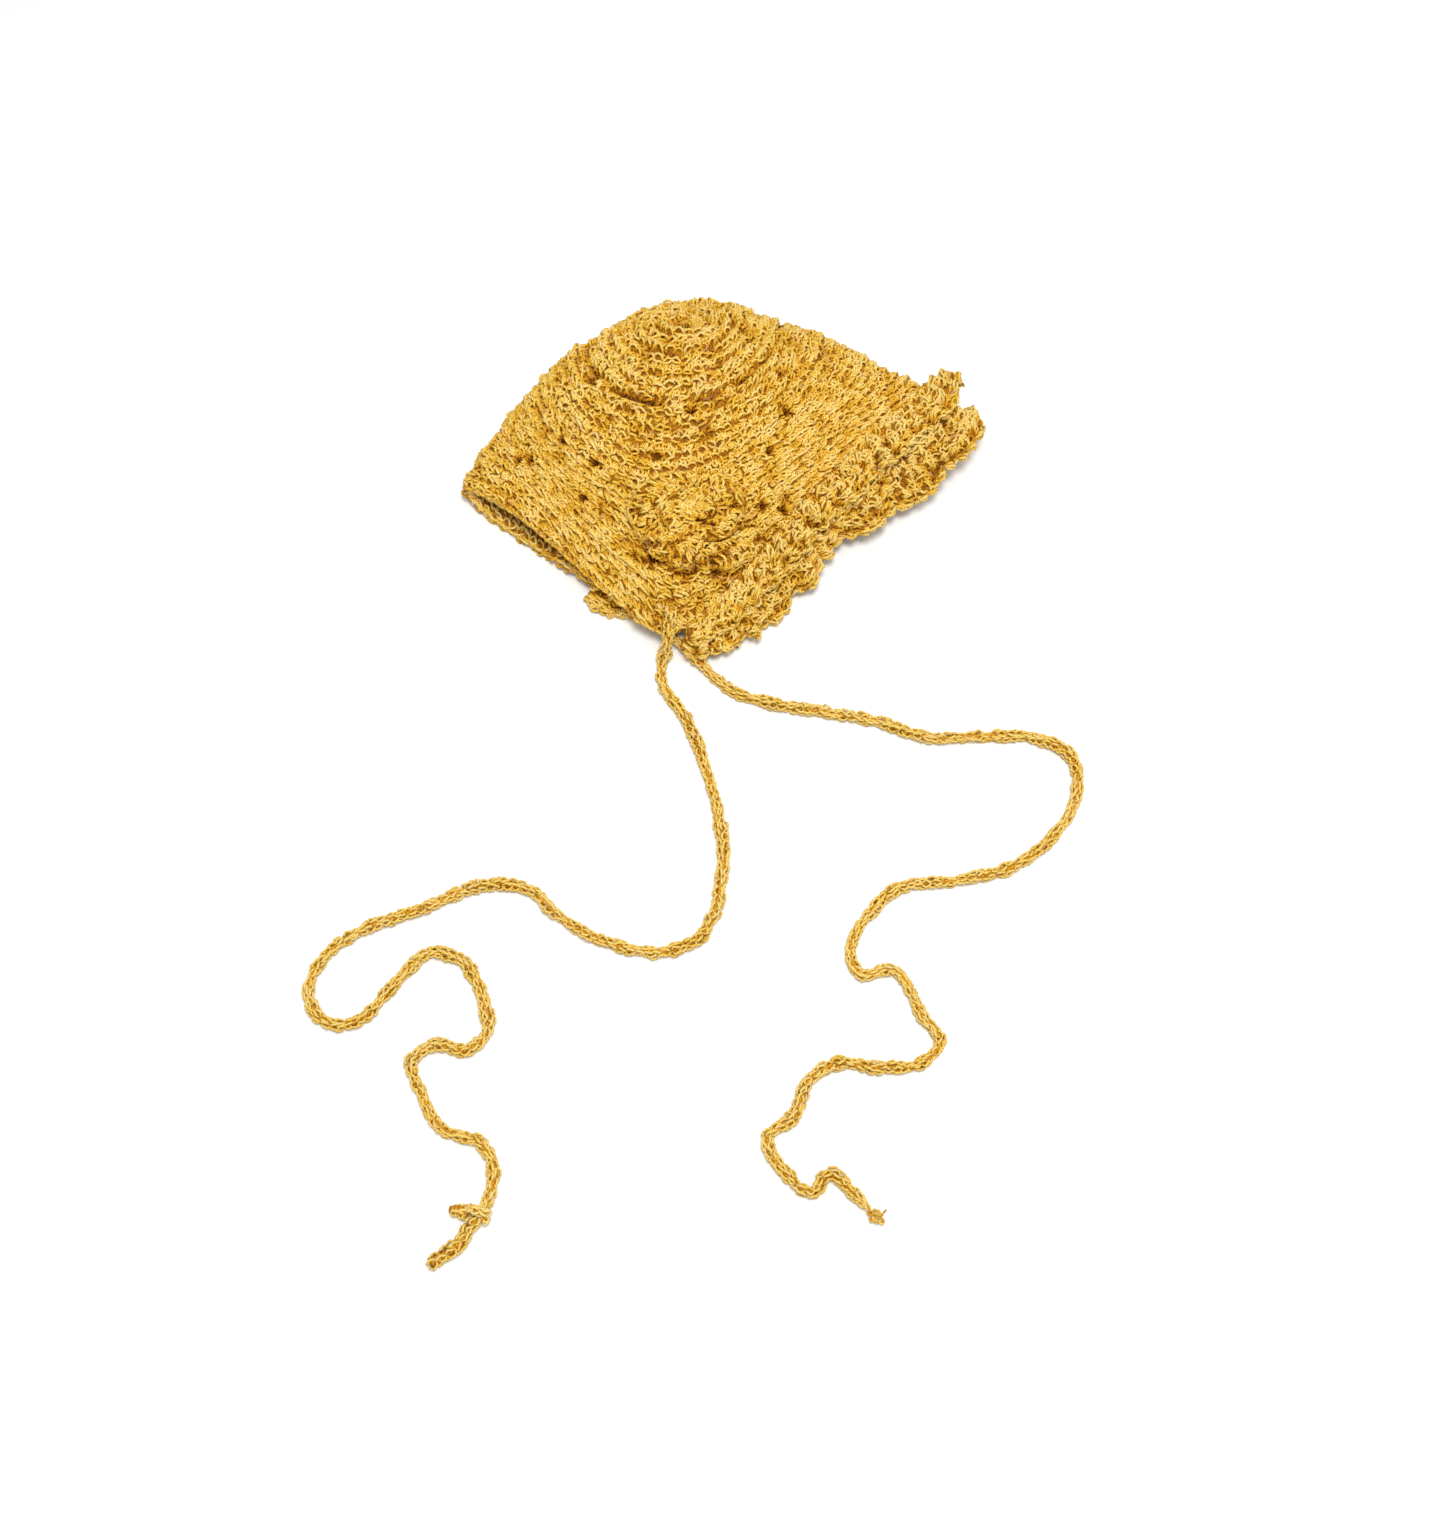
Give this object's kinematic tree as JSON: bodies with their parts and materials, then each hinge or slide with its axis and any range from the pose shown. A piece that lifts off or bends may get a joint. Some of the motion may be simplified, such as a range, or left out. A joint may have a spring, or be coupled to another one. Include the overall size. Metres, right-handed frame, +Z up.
{
  "type": "crochet baby bonnet",
  "caption": "Mustard cotton crocheted baby bonnet with a two-tier front frill, a coiled rosette and two long ties, lying folded on its side.",
  "frame": {"origin": "on the surface that the folded bonnet lies on, below the middle of the bonnet without its ties", "axes": "+X towards the face opening and the forehead fold, +Y towards the crown, +Z up out of the wearer's right half"},
  "size_m": [0.2672, 0.3544, 0.0433],
  "materials": {
    "yarn": "crocheted cotton yarn, softly glossy"
  },
  "bodies": {
    "root": {"cap_body": "yarn", "frill_upper": "yarn", "frill_lower": "yarn", "rosette": "yarn", "tie_near": "yarn", "tie_far": "yarn", "tie_near_stub": "yarn", "tie_far_tuft": "yarn"}
  },
  "joints": []
}
